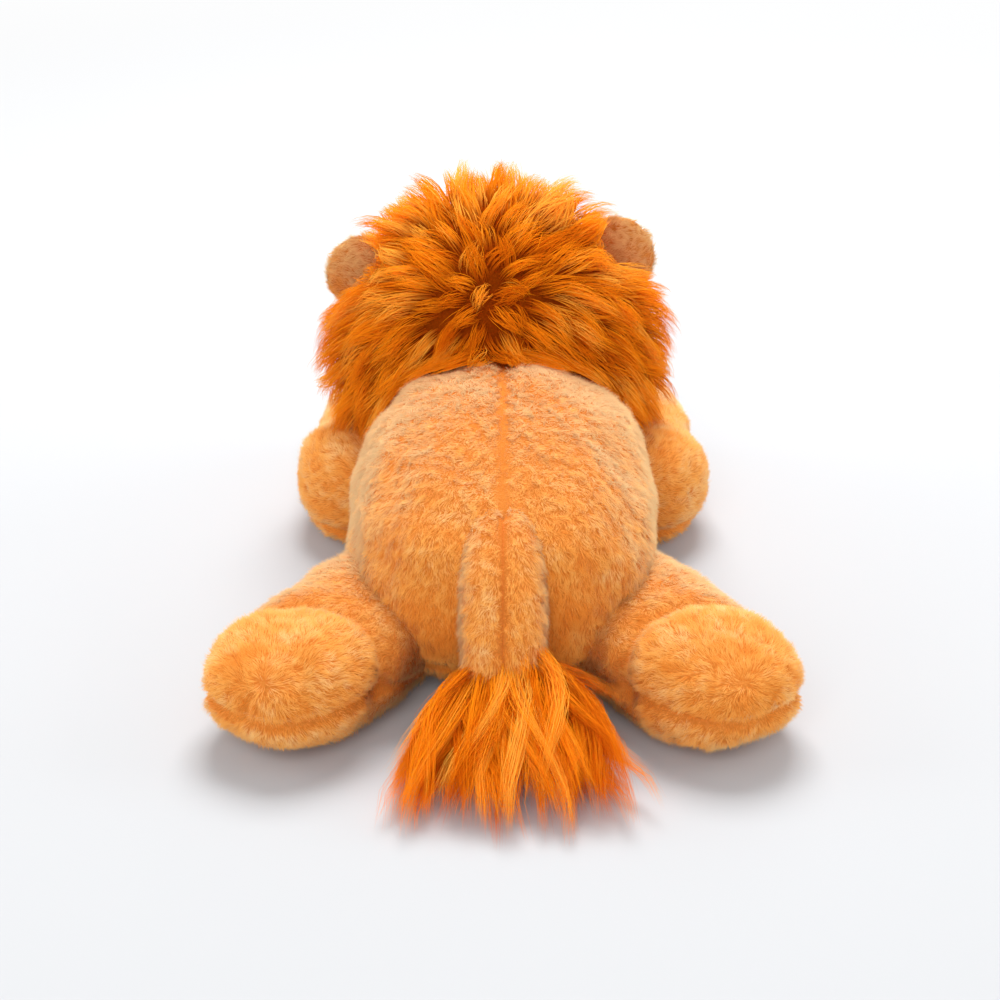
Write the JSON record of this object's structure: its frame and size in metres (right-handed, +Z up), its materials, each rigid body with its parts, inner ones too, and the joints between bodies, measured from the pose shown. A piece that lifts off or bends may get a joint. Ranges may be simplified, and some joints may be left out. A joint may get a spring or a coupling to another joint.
{
  "type": "plush lion",
  "caption": "Stuffed plush lion lying on its belly, with a shaggy mane, splayed hind legs and a tail that ends in a long tuft of hair.",
  "frame": {"origin": "middle of the belly on the flat patch that the toy lies on", "axes": "+Z up, +Y the way the lion faces, +X to the lion's right"},
  "size_m": [0.2338, 0.3486, 0.1704],
  "materials": {
    "body_plush": "short plush pile, matt",
    "mane_fur": "long shaggy pile, matt",
    "muzzle_plush": "short cream plush pile, matt",
    "nose": "padded velour",
    "thread": "twisted embroidery thread",
    "eye": "polished dark brown",
    "lock_washer": "moulded",
    "stuffing": "loose polyester fibre",
    "pellet_pouch": "thin woven bag of plastic pellets"
  },
  "bodies": {
    "torso": {"torso_back_panel_left": "body_plush", "torso_back_panel_right": "body_plush", "torso_belly_panel": "body_plush", "torso_pellet_pouch": "pellet_pouch", "torso_stuffing": "stuffing"},
    "head": {"mane": "mane_fur", "face_panel": "body_plush", "head_stuffing": "stuffing", "muzzle": "muzzle_plush", "chin": "muzzle_plush", "nose": "nose", "mouth_stitching": "thread", "eye_left": "eye", "eye_washer_left": "lock_washer", "eye_right": "eye", "eye_washer_right": "lock_washer"},
    "ear_left": {"ear_left_back": "body_plush", "ear_left_lining": "muzzle_plush"},
    "ear_right": {"ear_right_back": "body_plush", "ear_right_lining": "muzzle_plush"},
    "foreleg_left": {"foreleg_left_upper_panel": "body_plush", "foreleg_left_under_panel": "body_plush", "foreleg_left_stuffing": "stuffing"},
    "foreleg_right": {"foreleg_right_upper_panel": "body_plush", "foreleg_right_under_panel": "body_plush", "foreleg_right_stuffing": "stuffing"},
    "hind_leg_left": {"hind_leg_left_upper_panel": "body_plush", "hind_leg_left_sole_panel": "body_plush", "hind_leg_left_pellet_pouch": "pellet_pouch", "hind_leg_left_stuffing": "stuffing"},
    "hind_leg_right": {"hind_leg_right_upper_panel": "body_plush", "hind_leg_right_sole_panel": "body_plush", "hind_leg_right_pellet_pouch": "pellet_pouch", "hind_leg_right_stuffing": "stuffing"},
    "tail": {"tail_cover": "body_plush", "tail_stuffing": "stuffing", "tail_tuft": "mane_fur"}
  },
  "joints": [
    {"name": "head_lift", "type": "hinge", "parent": "torso", "child": "head", "pos_m": [0, 0.024, 0.102], "axis": [1, 0, 0], "range_deg": [0, 11]},
    {"name": "ear_left_flop", "type": "hinge", "parent": "head", "child": "ear_left", "pos_m": [-0.04472, 0.118, 0.10289], "axis": [-0.3827, 0, -0.9239], "range_deg": [0, 30], "stiffness_Nm_per_rad": 0.01},
    {"name": "ear_right_flop", "type": "hinge", "parent": "head", "child": "ear_right", "pos_m": [0.03433, 0.118, 0.10911], "axis": [-0.5225, 0, 0.8526], "range_deg": [0, 30], "stiffness_Nm_per_rad": 0.01},
    {"name": "foreleg_left_swing", "type": "hinge", "parent": "torso", "child": "foreleg_left", "pos_m": [-0.066, 0.034, 0.025], "axis": [0, 0, 1], "range_deg": [0, 15]},
    {"name": "foreleg_right_swing", "type": "hinge", "parent": "torso", "child": "foreleg_right", "pos_m": [0.066, 0.034, 0.025], "axis": [0, 0, -1], "range_deg": [0, 15]},
    {"name": "hind_leg_left_swing", "type": "hinge", "parent": "torso", "child": "hind_leg_left", "pos_m": [-0.066, -0.008, 0.025], "axis": [0, 0, -1], "range_deg": [0, 15]},
    {"name": "hind_leg_right_swing", "type": "hinge", "parent": "torso", "child": "hind_leg_right", "pos_m": [0.066, -0.008, 0.025], "axis": [0, 0, 1], "range_deg": [0, 15]},
    {"name": "tail_lift", "type": "hinge", "parent": "torso", "child": "tail", "pos_m": [0, -0.077, 0.086], "axis": [-1, 0, 0], "range_deg": [0, 60]}
  ]
}
